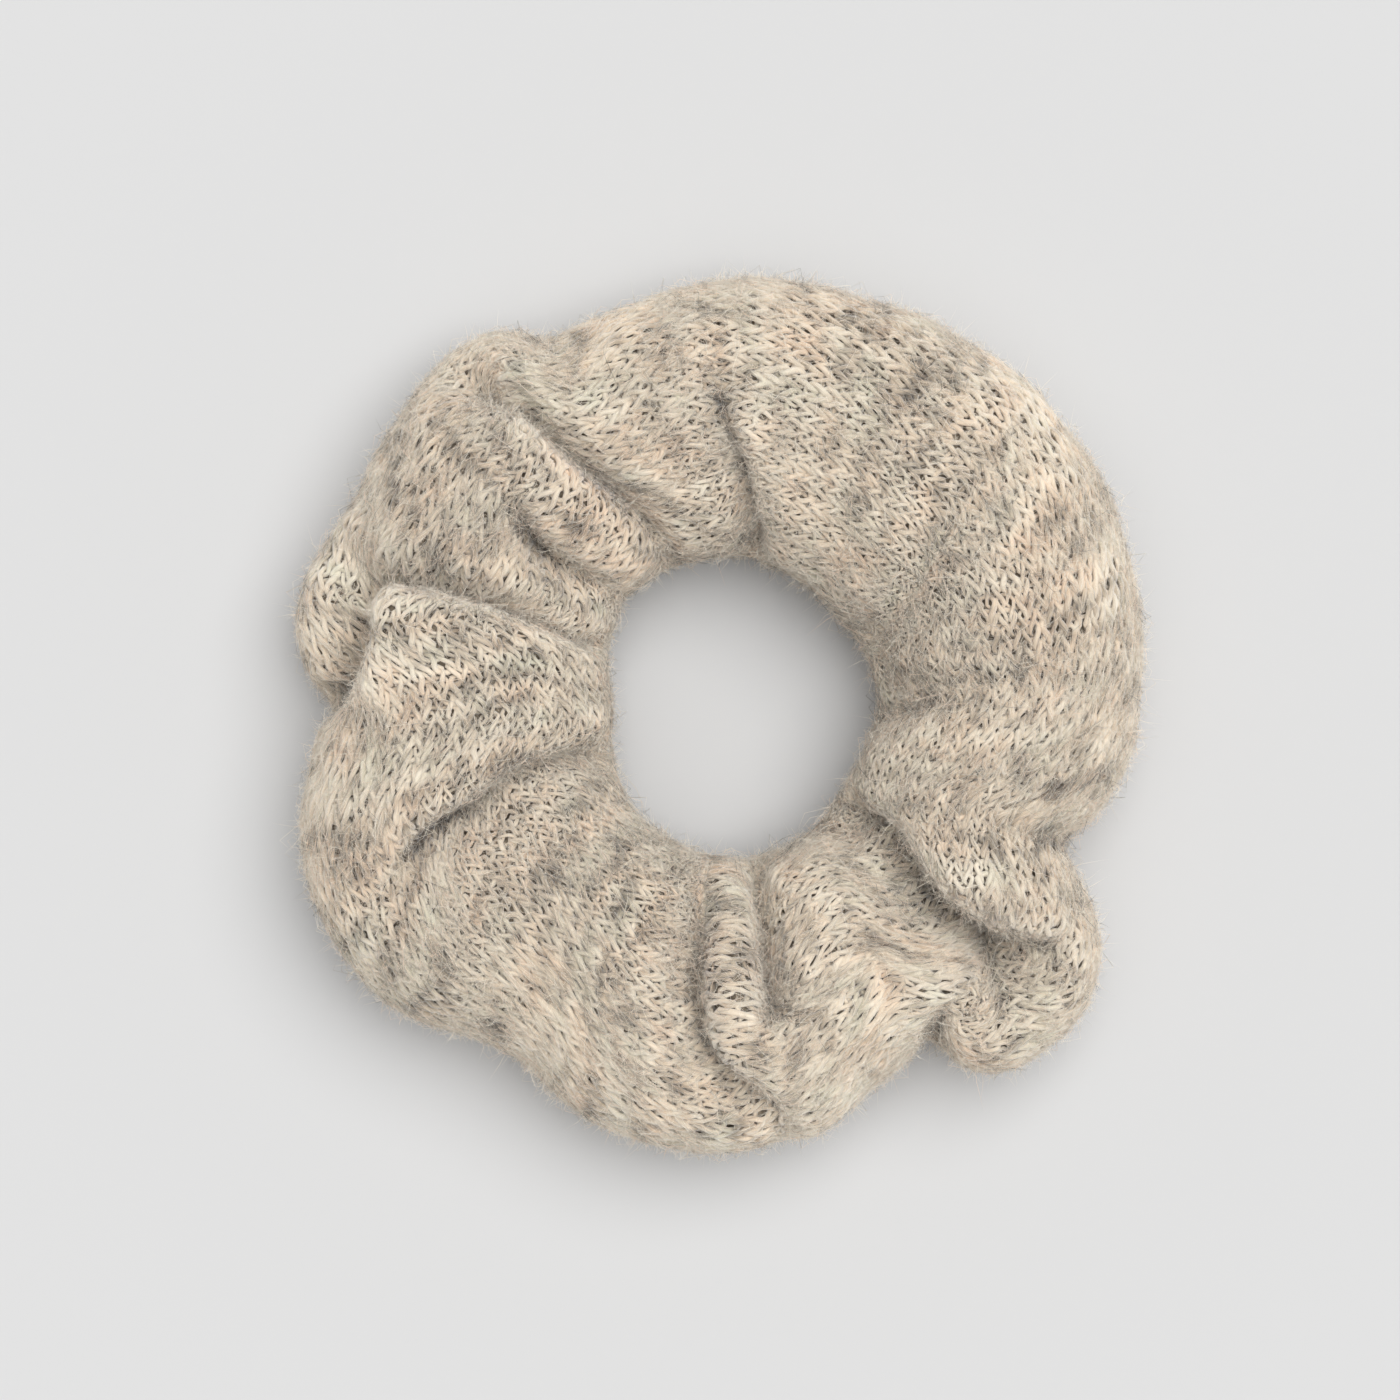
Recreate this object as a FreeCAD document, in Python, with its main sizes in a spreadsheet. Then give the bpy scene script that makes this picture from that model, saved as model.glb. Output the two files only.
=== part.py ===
"""Scrunchie: a knitted tube gathered on a loop of flat elastic.

Units are millimetres. The ring lies flat on the plane Z = 0 with +Z up, and the origin is the
middle of its footprint. The cover is a hollow ring of fabric. Its section is an oval with a
flattened underside, and it swells and narrows from one gather to the next. Inside it are the
elastic, the tack that joins the elastic's ends, the seam that makes the strip a tube, and the
seam that joins the tube's two ends.
"""
import FreeCAD, Part
import Sketcher
import math
import os

# Driving dimensions: alias, value in millimetres, degrees or pieces, what it is.
DIMENSIONS = [
    ("fabric_thickness", 2.5, "thickness of the brushed knit"),
    ("section_middle", 13.0, "height of the tube's middle above the table"),
    ("elastic_width", 7.0, "width of the flat elastic, which stands on edge"),
    ("elastic_thickness", 1.2, "thickness of the flat elastic"),
    ("elastic_radius", 27.5, "radius of the relaxed elastic loop, to its middle line"),
    ("elastic_middle", 13.0, "height of the elastic's middle line"),
    ("elastic_overlap", 13.0, "length over which the elastic's ends overlap"),
    ("elastic_gap", 0.1, "space between the overlapped ends"),
    ("elastic_join_angle", 268.0, "where the overlap begins, round the ring"),
    ("climb_lead", 1.0, "length of the outer end's flat run before the overlap"),
    ("climb_out_radius", 32.5, "bend radius where the outer end leaves the round"),
    ("climb_in_radius", 24.0, "bend radius where the outer end comes over the inner end"),
    ("thread_diameter", 0.5, "diameter of the sewing thread"),
    ("needle_hole", 0.7, "diameter of a needle hole in the elastic"),
    ("tack_width", 4.4, "height of the zigzag tack on the elastic"),
    ("tack_length", 9.6, "length of the zigzag tack along the elastic"),
    ("tack_stitches", 8, "zigzag stitches in the tack"),
    ("thread_clearance", 0.1, "space between thread and elastic"),
    ("seam_width", 3.0, "height of the zigzag of the long seam"),
    ("seam_stitches", 36, "zigzag stitches of the long seam, round the ring"),
    ("seam_clearance", 0.6, "from the fabric's inner face to a seam thread's middle"),
    ("closing_angle", 65.0, "where the tube's two ends meet, round the ring"),
    ("closing_width", 2.4, "length of a closing stitch across the join"),
    ("closing_stitches", 18, "zigzag stitches of the closing seam, round the tube"),
]

# The gathers, anticlockwise from the right: angle, inner radius, outer radius, height of the top.
# A large outer radius is a puffed lobe, and a small one is where the fabric is drawn together.
GATHERS = [
    (20.0, 19.0, 57.0, 29.5),
    (45.0, 18.5, 60.5, 30.0),
    (68.0, 19.5, 58.0, 29.5),
    (90.0, 21.0, 60.5, 28.5),
    (115.0, 21.5, 57.0, 28.5),
    (131.0, 21.5, 65.0, 27.5),
    (148.0, 20.5, 60.0, 30.0),
    (164.0, 19.0, 66.5, 28.5),
    (181.0, 18.0, 57.5, 30.0),
    (204.0, 18.5, 67.0, 29.5),
    (227.0, 21.0, 60.5, 29.5),
    (250.0, 21.5, 59.5, 28.5),
    (272.0, 21.0, 63.5, 29.0),
    (294.0, 20.5, 51.5, 27.0),
    (314.0, 18.5, 65.0, 28.5),
    (337.0, 17.5, 46.0, 26.0),
    (353.0, 18.0, 56.0, 29.5),
]
GATHER_WORDS = ("angle", "inner", "outer", "top")
SECTION_POLES = 11
KNUCKLE = 1.06  # a bend's ball over the thread's radius, so that the runs end inside it
STEP_FOLDER = "parts"

document = FreeCAD.newDocument("Scrunchie")
sheet = document.addObject("Spreadsheet::Sheet", "dims")


# ---------------------------------------------------------------- sheet

def write_cell(row, alias, value, note):
    """Put one number, its alias and its note on a row of the sheet."""
    sheet.set(f"A{row}", str(value))
    sheet.setAlias(f"A{row}", alias)
    sheet.set(f"B{row}", note)


def fill_sheet():
    """Write the driving dimensions, then the numbers of each gather."""
    rows = list(DIMENSIONS)
    for index, gather in enumerate(GATHERS):
        for word, value in zip(GATHER_WORDS, gather):
            rows.append((f"gather_{word}_{index}", value, f"{word} of gather {index}"))
    for row, (alias, value, note) in enumerate(rows, start=1):
        write_cell(row, alias, value, note)
    document.recompute()


def size(alias):
    """A number of the sheet."""
    return float(sheet.get(alias))


def count(alias):
    """A whole number of the sheet."""
    return round(size(alias))


def bind(target, formulas):
    """Tie an object's properties to formulas over the sheet's cells."""
    for name, formula in formulas.items():
        target.setExpression(name, formula)


# ---------------------------------------------------------------- gathered ring

def section_point(gather, turn, inset, swell=1.0):
    """A point of one gather's oval, at a turn in radians from its outermost point."""
    angle, inner, outer, top = gather
    across = ((outer - inner) / 2 - inset) * swell
    upwards = (top - size("section_middle") - inset) * swell
    radius = (inner + outer) / 2 + across * math.cos(turn)
    return FreeCAD.Vector(radius * math.cos(math.radians(angle)),
                          radius * math.sin(math.radians(angle)),
                          size("section_middle") + upwards * math.sin(turn))


def section_poles(gather, inset):
    """Poles of one gather's section, from the table at its outer side over the top to the hole.

    A smooth curve runs a little inside its poles, so the poles stand out by the same share.
    """
    swell = 3 / (2 + math.cos(math.pi / (SECTION_POLES - 3)))
    spread = 3 / (2 + math.cos(2 * math.pi / len(GATHERS)))
    drop = math.asin((size("section_middle") - inset) / (gather[3] - size("section_middle") - inset)
                     / swell)
    poles = []
    for place in range(SECTION_POLES):
        turn = -drop + (math.pi + 2 * drop) * place / (SECTION_POLES - 1)
        pole = section_point(gather, turn, inset, swell)
        poles.append(FreeCAD.Vector(pole.x * spread, pole.y * spread, pole.z))
    poles[0].z = inset
    poles[-1].z = inset
    return poles


def ring_surface(inset):
    """The smooth surface over every gather's section, drawn in by inset, down to a flat floor."""
    poles = [section_poles([size(f"gather_{word}_{index}") for word in GATHER_WORDS], inset)
             for index in range(len(GATHERS))]
    degree = 3
    inner_knots = SECTION_POLES - degree - 1
    section_repeats = [degree + 1] + [1] * inner_knots + [degree + 1]
    surface = Part.BSplineSurface()
    surface.buildFromPolesMultsKnots(
        poles, [1] * (len(poles) + 1), section_repeats,
        list(range(len(poles) + 1)), list(range(len(section_repeats))),
        True, False, degree, degree)
    return surface


def ring_solid(name, inset):
    """The ring surface closed underneath by a flat face."""
    top = ring_surface(inset).toShape()
    rims = [Part.Wire([edge]) for edge in top.Edges if edge.isClosed()]
    base = Part.makeFace(rims, "Part::FaceMakerBullseye")
    shell = Part.Shell([top, base])
    shell.sewShape()
    solid = Part.Solid(shell)
    if solid.Volume < 0:
        solid.reverse()
    ring = document.addObject("Part::Feature", name)
    ring.Shape = solid
    return ring


def make_cover():
    """The gathered tube: the outer ring less the hollow inside it."""
    cover = document.addObject("Part::Cut", "knit_cover")
    cover.Base = ring_solid("outer_ring", 0)
    cover.Tool = ring_solid("hollow_ring", size("fabric_thickness"))
    return cover


# ---------------------------------------------------------------- elastic band

def flat_sketch(body, name, role):
    """An empty sketch on one of the body's own origin planes."""
    plane = next(item for item in body.Origin.OriginFeatures if item.Role == role)
    sketch = body.newObject("Sketcher::SketchObject", name)
    sketch.AttachmentSupport = [(plane, "")]
    sketch.MapMode = "FlatFace"
    return sketch


def constrain(sketch, kind, *arguments, formula=None):
    """Add a constraint, and tie its value to the sheet when a formula is given."""
    index = sketch.addConstraint(Sketcher.Constraint(kind, *arguments))
    if formula:
        sketch.setExpression(f"Constraints[{index}]", formula)


def draw_arc(sketch, centre, radius, start, end):
    """Draw an arc between two angles in radians."""
    circle = Part.Circle(centre, FreeCAD.Vector(0, 0, 1), radius)
    return sketch.addGeometry(Part.ArcOfCircle(circle, start, end))


def tail_radius():
    """Radius of the outer end's middle line where it lies over the inner end."""
    return size("elastic_radius") + size("elastic_thickness") + size("elastic_gap")


def elastic_path(body):
    """Middle line of the elastic: once round, a gentle climb outwards, then over its own start.

    It starts on +X. The climb is two arcs, tangent to each other and to the rounds they join.
    """
    radius = size("elastic_radius")
    outer_radius = tail_radius()
    step = outer_radius - radius
    lead = size("climb_lead")
    out_shift = size("climb_out_radius") - radius
    in_shift = outer_radius - size("climb_in_radius")
    # The two arcs touch when the distance of their centres is the difference of their radii.
    turn = math.acos(1 - (2 * step * (out_shift + in_shift) - step ** 2)
                     / (2 * out_shift * in_shift))
    climb_end = 2 * math.pi - math.asin(lead / outer_radius)
    climb_start = climb_end - turn
    middle = FreeCAD.Vector(0, 0, 0)
    out_centre = FreeCAD.Vector(-out_shift * math.cos(climb_start),
                                -out_shift * math.sin(climb_start), 0)
    in_centre = FreeCAD.Vector(in_shift * math.cos(climb_end), in_shift * math.sin(climb_end), 0)
    between = in_centre - out_centre
    touch = math.atan2(between.y, between.x) % (2 * math.pi)
    end = 2 * math.pi + size("elastic_overlap") / outer_radius

    sketch = flat_sketch(body, "elastic_path", "XY_Plane")
    once_round = draw_arc(sketch, middle, radius, 0, climb_start)
    climb_out = draw_arc(sketch, out_centre, radius + out_shift, climb_start, touch)
    climb_in = draw_arc(sketch, in_centre, outer_radius - in_shift, touch, climb_end)
    tail = draw_arc(sketch, middle, outer_radius, climb_end, end)
    starts, ends, centre, origin = 1, 2, 3, (-1, 1)
    constrain(sketch, "Coincident", once_round, centre, *origin)
    constrain(sketch, "Coincident", tail, centre, *origin)
    constrain(sketch, "PointOnObject", once_round, starts, -1)
    constrain(sketch, "Tangent", once_round, ends, climb_out, starts)
    constrain(sketch, "Tangent", climb_out, ends, climb_in, starts)
    constrain(sketch, "Tangent", climb_in, ends, tail, starts)
    constrain(sketch, "Radius", once_round, radius, formula="dims.elastic_radius * 1mm")
    constrain(sketch, "Radius", tail, outer_radius,
              formula="(dims.elastic_radius + dims.elastic_thickness + dims.elastic_gap) * 1mm")
    constrain(sketch, "Radius", climb_out, radius + out_shift,
              formula="dims.climb_out_radius * 1mm")
    constrain(sketch, "Radius", climb_in, outer_radius - in_shift,
              formula="dims.climb_in_radius * 1mm")
    constrain(sketch, "DistanceY", tail, starts, -lead, formula="-dims.climb_lead * 1mm")
    return sketch


def elastic_profile(body):
    """Section of the elastic where its middle line starts, on +X."""
    half_width = size("elastic_width") / 2
    half_thickness = size("elastic_thickness") / 2
    radius = size("elastic_radius")
    corners = [
        FreeCAD.Vector(radius - half_thickness, -half_width, 0),
        FreeCAD.Vector(radius + half_thickness, -half_width, 0),
        FreeCAD.Vector(radius + half_thickness, half_width, 0),
        FreeCAD.Vector(radius - half_thickness, half_width, 0),
    ]
    sketch = flat_sketch(body, "elastic_profile", "XZ_Plane")
    sides = [sketch.addGeometry(Part.LineSegment(corners[side], corners[(side + 1) % 4]))
             for side in range(4)]
    bottom, right, top, left = sides
    for side in range(4):
        constrain(sketch, "Coincident", sides[side], 2, sides[(side + 1) % 4], 1)
    constrain(sketch, "Horizontal", bottom)
    constrain(sketch, "Horizontal", top)
    constrain(sketch, "Vertical", right)
    constrain(sketch, "Vertical", left)
    constrain(sketch, "DistanceX", bottom, 1, radius - half_thickness,
              formula="(dims.elastic_radius - dims.elastic_thickness / 2) * 1mm")
    constrain(sketch, "DistanceX", bottom, 1, bottom, 2, 2 * half_thickness,
              formula="dims.elastic_thickness * 1mm")
    constrain(sketch, "DistanceY", bottom, 1, -half_width, formula="-dims.elastic_width / 2 * 1mm")
    constrain(sketch, "DistanceY", right, 1, right, 2, 2 * half_width,
              formula="dims.elastic_width * 1mm")
    return sketch


def tack_steps():
    """Needle holes of the zigzag tack: stitches from the overlap's middle, and side, up or down."""
    stitches = count("tack_stitches")
    return [(number - stitches / 2, 1 if number % 2 else -1) for number in range(stitches + 1)]


def tack_holes():
    """The same holes in millimetres: distance along the overlap from its middle, and height."""
    pitch = size("tack_length") / count("tack_stitches")
    return [(step * pitch, side * size("tack_width") / 2) for step, side in tack_steps()]


def overlap_turn():
    """Angle in degrees from the elastic's start to the middle of the overlap."""
    return math.degrees(size("elastic_overlap") / 2 / size("elastic_radius"))


def make_elastic():
    """Flat elastic swept along its middle line, with needle holes through both its ends."""
    body = document.addObject("PartDesign::Body", "elastic_band")
    path = elastic_path(body)
    profile = elastic_profile(body)
    pipe = body.newObject("PartDesign::AdditivePipe", "elastic_strip")
    pipe.Profile = profile
    pipe.Spine = (path, [""])
    document.recompute()
    uncut_volume = body.Shape.Volume

    sketch = flat_sketch(body, "needle_holes", "YZ_Plane")
    sketch.AttachmentOffset = FreeCAD.Placement(
        FreeCAD.Vector(0, 0, 0), FreeCAD.Rotation(FreeCAD.Vector(0, 1, 0), overlap_turn()))
    centre = 3
    for (step, side), (along, height) in zip(tack_steps(), tack_holes()):
        circle = sketch.addGeometry(Part.Circle(
            FreeCAD.Vector(along, height, 0), FreeCAD.Vector(0, 0, 1), size("needle_hole") / 2))
        constrain(sketch, "Radius", circle, size("needle_hole") / 2,
                  formula="dims.needle_hole / 2 * 1mm")
        constrain(sketch, "DistanceX", circle, centre, along,
                  formula=f"{step} * dims.tack_length / dims.tack_stitches * 1mm")
        constrain(sketch, "DistanceY", circle, centre, height,
                  formula=f"{side} * dims.tack_width / 2 * 1mm")
    holes = body.newObject("PartDesign::Pocket", "needle_pocket")
    holes.Profile = sketch
    holes.Type = "Length"
    holes.Reversed = True
    bind(holes, {"Length": "(dims.elastic_radius + dims.elastic_width) * 1mm"})
    document.recompute()
    hole_area = math.pi * (size("needle_hole") / 2) ** 2
    expected = len(tack_holes()) * hole_area * 2 * size("elastic_thickness")
    removed = uncut_volume - body.Shape.Volume
    least, most = 0.9, 1.2
    if not least * expected < removed < most * expected:
        raise SystemExit(f"needle holes took {removed:.2f} mm3, not about {expected:.2f} mm3")
    return body


# ---------------------------------------------------------------- threads

def thread_along(points, closed=False):
    """Pieces of a round thread through the points: straight runs, and a small knuckle per bend."""
    radius = size("thread_diameter") / 2
    ends = list(zip(points, points[1:]))
    if closed:
        ends.append((points[-1], points[0]))
    pieces = [Part.makeCylinder(radius, (end - start).Length, start, end - start)
              for start, end in ends]
    pieces += [Part.makeSphere(KNUCKLE * radius, point) for point in points]
    return pieces


def thread_feature(name, pieces):
    """One solid thread made of its runs and bends."""
    thread = document.addObject("Part::Feature", name)
    thread.Shape = pieces[0].multiFuse(pieces[1:])
    return thread


def make_tack():
    """Zigzag through the elastic's overlapped ends, on both faces and through every hole."""
    reach = size("thread_diameter") / 2 + size("thread_clearance") + size("elastic_thickness") / 2
    faces = {"inner": size("elastic_radius") - reach, "outer": tail_radius() + reach}
    turn = math.radians(overlap_turn())
    runs = {}
    for face, radius in faces.items():
        points = []
        for along, height in tack_holes():
            outward = math.sqrt(radius ** 2 - along ** 2)
            points.append(FreeCAD.Vector(outward * math.cos(turn) - along * math.sin(turn),
                                         outward * math.sin(turn) + along * math.cos(turn),
                                         height))
        runs[face] = points
    pieces = thread_along(runs["inner"]) + thread_along(runs["outer"])
    for ends in zip(runs["inner"], runs["outer"]):
        pieces += thread_along(ends)
    return thread_feature("elastic_join_stitches", pieces)


def gather_at(angle):
    """The gather's numbers at any angle, between the two gathers beside it."""
    gathers = [[size(f"gather_{word}_{index}") for word in GATHER_WORDS]
               for index in range(len(GATHERS))]
    after = gathers + [[gathers[0][0] + 360] + gathers[0][1:]]
    angle = (angle - gathers[0][0]) % 360 + gathers[0][0]
    for before, following in zip(after, after[1:]):
        if before[0] <= angle <= following[0]:
            share = (angle - before[0]) / (following[0] - before[0])
            return [first + share * (second - first)
                    for first, second in zip(before, following)]
    raise ValueError(f"no gather beside {angle}")


def lining_point(surface, angle, turn, lift=0.0):
    """A point just inside the fabric, at an angle round the ring and a turn round the tube."""
    target = section_point(gather_at(angle), turn, 0)
    target.z = target.z + lift
    point = surface.value(*surface.parameter(target))
    floor = size("fabric_thickness") + size("seam_clearance")
    return FreeCAD.Vector(point.x, point.y, max(point.z, floor))


def make_long_seam():
    """Zigzag round the hole side of the ring, where the strip's long edges meet."""
    surface = ring_surface(size("fabric_thickness") + size("seam_clearance"))
    stitches = 2 * count("seam_stitches")
    half_width = size("seam_width") / 2
    points = [lining_point(surface, 360 * number / stitches, math.pi,
                           half_width if number % 2 else -half_width)
              for number in range(stitches)]
    return thread_feature("cover_seam_thread", thread_along(points, closed=True))


def make_closing_seam():
    """Zigzag round the tube, where its two ends meet."""
    surface = ring_surface(size("fabric_thickness") + size("seam_clearance"))
    stitches = 2 * count("closing_stitches")
    points = []
    for number in range(stitches):
        side = 1 if number % 2 else -1
        turn = 2 * math.pi * number / stitches
        radius = section_point(gather_at(size("closing_angle")), turn, 0).Length
        sideways = math.degrees(size("closing_width") / 2 / radius)
        points.append(lining_point(surface, size("closing_angle") + side * sideways, turn))
    return thread_feature("closing_seam_thread", thread_along(points, closed=True))


# ---------------------------------------------------------------- assembly

def footprint_middle(shape):
    """Middle of the shape's footprint, from a fine mesh of it."""
    mesh_tolerance = 0.02
    points, _ = shape.tessellate(mesh_tolerance)
    across = [point.x for point in points]
    along = [point.y for point in points]
    return FreeCAD.Vector((min(across) + max(across)) / 2, (min(along) + max(along)) / 2, 0)


def place_all(cover, elastic, tack, seams):
    """Bring the middle of the footprint to the origin, and the elastic to its height and turn."""
    to_origin = FreeCAD.Placement(-footprint_middle(cover.Shape), FreeCAD.Rotation())
    elastic_seat = FreeCAD.Placement(
        FreeCAD.Vector(0, 0, size("elastic_middle")),
        FreeCAD.Rotation(FreeCAD.Vector(0, 0, 1), size("elastic_join_angle")))
    for piece in [cover] + seams:
        piece.Placement = to_origin
    for piece in (elastic, tack):
        piece.Placement = to_origin * elastic_seat


def check_document():
    """Stop if any object failed to compute."""
    for item in document.Objects:
        if "Invalid" in item.State or "Error" in item.State:
            raise SystemExit(f"{item.Name} failed: {item.State}")


def export(piece):
    """Check one sub-part's solids and write them to the file named after it."""
    shape = piece.Shape
    if shape.isNull() or not shape.isValid() or len(shape.Solids) != 1:
        raise SystemExit(f"{piece.Label} is not one valid solid")
    shape.exportStep(os.path.join(STEP_FOLDER, f"{piece.Label}.step"))
    print(piece.Label, round(shape.Volume, 1), "mm3")


def main():
    os.makedirs(STEP_FOLDER, exist_ok=True)
    fill_sheet()
    cover = make_cover()
    elastic = make_elastic()
    tack = make_tack()
    seams = [make_long_seam(), make_closing_seam()]
    document.recompute()
    place_all(cover, elastic, tack, seams)
    document.recompute()
    check_document()
    for piece in [cover, elastic, tack] + seams:
        export(piece)


main()
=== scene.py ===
"""Scrunchie: a brushed marl knit, stitch by stitch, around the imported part.

Lengths are millimetres in the shape, the knit and the fuzz, and MM turns them into metres for
Blender. The studio and the materials are in metres. The ring is described in plan from the middle
of its opening, by an angle in degrees anticlockwise from +X and a radius. Fabric coordinates count
courses round the ring and wales round the tube.
"""
import bpy
import math
import numpy as np
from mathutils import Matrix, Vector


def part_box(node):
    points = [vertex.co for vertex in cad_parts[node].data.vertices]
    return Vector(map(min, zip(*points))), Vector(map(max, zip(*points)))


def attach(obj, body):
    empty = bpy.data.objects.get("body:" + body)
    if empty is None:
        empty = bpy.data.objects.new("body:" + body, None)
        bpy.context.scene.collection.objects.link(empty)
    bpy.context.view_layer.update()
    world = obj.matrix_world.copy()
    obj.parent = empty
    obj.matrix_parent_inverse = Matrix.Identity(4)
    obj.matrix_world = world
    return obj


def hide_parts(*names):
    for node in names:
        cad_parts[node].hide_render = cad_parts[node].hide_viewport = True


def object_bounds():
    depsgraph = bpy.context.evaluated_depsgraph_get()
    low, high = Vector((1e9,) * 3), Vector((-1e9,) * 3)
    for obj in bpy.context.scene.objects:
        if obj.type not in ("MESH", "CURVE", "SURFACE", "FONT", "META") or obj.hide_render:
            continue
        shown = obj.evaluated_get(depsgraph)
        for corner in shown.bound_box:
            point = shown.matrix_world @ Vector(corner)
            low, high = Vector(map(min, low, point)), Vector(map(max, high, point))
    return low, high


MM = 0.001
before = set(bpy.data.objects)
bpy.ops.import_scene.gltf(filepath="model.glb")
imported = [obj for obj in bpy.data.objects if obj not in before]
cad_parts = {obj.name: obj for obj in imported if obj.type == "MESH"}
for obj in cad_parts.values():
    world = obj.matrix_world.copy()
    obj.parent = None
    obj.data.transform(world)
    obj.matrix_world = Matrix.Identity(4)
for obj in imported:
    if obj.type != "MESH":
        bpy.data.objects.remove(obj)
cad_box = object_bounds()

# ---------------------------------------------------------------- shape of the gathered ring

# Outside of the ring: angle, radius. The short radii are where a crease reaches the outside.
OUTLINE = [
    (1, 54.5), (19, 56.3), (34, 58.1), (48, 59.7), (62, 59.0), (74, 58.5), (88, 59.1), (100, 58.5),
    (112, 57.6), (118.6, 57.2), (121, 60.6), (124, 62.8), (129, 64.1), (139, 62.2), (147, 61.1),
    (152, 60.1), (157, 62.2), (162, 63.7), (169.5, 63.2), (177, 61.3), (180, 57.8), (185, 58.6),
    (191, 61.0), (196, 63.3), (201, 64.1), (207, 64.4), (217, 63.8), (221, 62.7), (227, 59.7),
    (233, 57.2), (238, 56.5), (247, 59.4), (258, 60.8), (267, 60.9), (273, 60.3), (280, 59.0),
    (287, 55.5), (293, 53.0), (296, 51.8), (300, 53.3), (302, 58.0), (306, 61.6), (312, 62.4),
    (319, 62.0), (326, 59.3), (330.5, 54.3), (337, 46.9), (340, 48.0), (344, 50.4), (349, 52.4),
    (355, 53.8),
]
# Edge of the opening: angle, radius.
OPENING = [
    (0, 18.8), (45, 18.4), (90, 21.0), (127, 22.7), (135, 23.0), (180, 17.9), (221, 20.8),
    (270, 20.8), (310, 18.9), (317, 17.0), (340, 18.0),
]
# Height of the fabric's top: angle, height.
TOPS = [
    (0, 28.0), (45, 28.5), (90, 27.0), (125, 26.5), (150, 28.0), (180, 28.0), (215, 28.0),
    (250, 27.5), (280, 28.5), (300, 26.0), (320, 27.0), (340, 27.5),
]
TUBE_MIDDLE = 12.5              # height at which the tube is widest
LOWEST = 1.1                    # height of the fabric's middle surface underneath
TOP_ROUNDNESS = 2.25            # 2 is an ellipse, and more is squarer
UNDERSIDE_ROUNDNESS = 3.2
SKIN = 0.7                      # from the outline, or the opening's edge, in to the middle surface
INSIDE_SHOWS = (12.5, 18.5)     # heights over which the folds fade in, at the opening
OUTSIDE_SHOWS = (4.0, 13.0)     # and at the outside
ELASTIC_RADIUS = 28.4           # about the middle of its two overlapped layers
LEAST_OVER_ELASTIC = 18.2       # lowest height of the fabric's middle surface above the elastic

# Creases, most of them walked from the opening outwards: points are radius, angle and depth. A lobe
# on the left of the walk (side 1) or on its right (side -1) hangs over the crease by the overhang,
# and the walk is the lobe's edge as seen from above. steep and gentle are the half-widths of the
# crease under the lobe and on the other side, and lip is how far the lobe swells beside it. Between
# two creases that part the fabric lies one panel.
CREASES = [
    dict(points=[(19, 28, 2.6), (26, 34, 2.4), (33.6, 39.5, 2.0), (52.7, 44, 1.2), (60, 45, 0)],
         side=1, overhang=0.0, steep=3.6, gentle=5.0, lip=0.3, parts=True),
    dict(points=[(19, 82.5, 4.0), (26, 84.5, 5.5), (31.6, 88, 5.5), (35.8, 91.5, 4.5), (40, 93.8, 3.2),
                 (46, 94.3, 1.6), (53, 94.5, 0)],
         side=-1, overhang=2.2, steep=1.9, gentle=1.8, lip=1.0, parts=True),
    dict(points=[(21.5, 117.5, 3.0), (26.9, 119.4, 6.0), (32.8, 122.3, 8.0), (38, 125, 9.0),
                 (43.5, 126.7, 9.0), (49.5, 127.7, 8.5), (57, 130, 5.5), (62, 130, 0)],
         side=1, overhang=2.4, steep=1.9, gentle=1.5, lip=1.0, parts=True),
    dict(points=[(22.5, 137.5, 2.0), (26.8, 138.5, 4.5), (32.3, 138.9, 8.0), (37.5, 138.6, 7.5),
                 (43.5, 137.6, 0)],
         side=-1, overhang=2.2, steep=2.0, gentle=3.0, lip=0.8, parts=True),
    dict(points=[(17.5, 156.8, 2.5), (27.3, 157.2, 4.5), (34, 158.1, 8.0), (41.5, 159.7, 11.0),
                 (50, 160.8, 13.0), (56.5, 162.5, 10.0), (62, 164, 0)],
         side=1, overhang=3.2, steep=1.9, gentle=1.5, lip=1.1, parts=True),
    dict(points=[(53, 160.5, 0), (53.5, 165, 9.0), (52.8, 170, 12.0), (54, 176, 12.0),
                 (57, 180.5, 6.0), (66, 182, 5.0)],
         side=1, overhang=1.6, steep=1.7, gentle=4.2, lip=0.5, parts=False),
    dict(points=[(19, 197, 2.5), (25, 193.9, 4.5), (31.3, 193.6, 6.5), (38.5, 197, 7.0),
                 (44.9, 199.6, 6.5), (48.5, 201.2, 5.0), (54.3, 205.9, 2.5), (60, 208, 0)],
         side=-1, overhang=2.4, steep=2.0, gentle=3.4, lip=1.0, parts=True),
    dict(points=[(24, 257, 0), (31.4, 259.4, 5.0), (38.1, 261.2, 7.5), (44.3, 263.0, 7.5),
                 (48.5, 266.0, 7.0), (52.0, 271.0, 5.0), (56, 275, 2.5), (62, 276, 0)],
         side=1, overhang=1.6, steep=2.0, gentle=3.6, lip=0.6, parts=True),
    dict(points=[(19.5, 271.5, 4.5), (28.8, 273.5, 8.0), (35.3, 273.8, 11.0), (40.5, 274.4, 9.5),
                 (44.0, 275, 0)],
         side=-1, overhang=1.2, steep=1.7, gentle=1.9, lip=0.8, parts=True),
    dict(points=[(15.5, 318.4, 5.0), (25.5, 322.5, 9.0), (36, 318.2, 13.0), (43.8, 319.0, 13.5),
                 (48, 320.3, 12.0), (51.5, 321.8, 7.0), (55, 323.5, 0)],
         side=1, overhang=3.2, steep=2.0, gentle=4.8, lip=1.2, parts=True),
    dict(points=[(56, 297.5, 5.0), (51.5, 300, 5.5), (49.4, 302.5, 4.5), (49.8, 306, 2.5), (51, 309, 0)],
         side=1, overhang=0.0, steep=1.8, gentle=1.8, lip=0.5, parts=False),
    dict(points=[(17, 359, 2.0), (23, 361, 2.4), (28, 363.5, 1.6), (35, 365, 0)],
         side=-1, overhang=0.6, steep=2.2, gentle=3.4, lip=0.8, parts=False),
]
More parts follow.
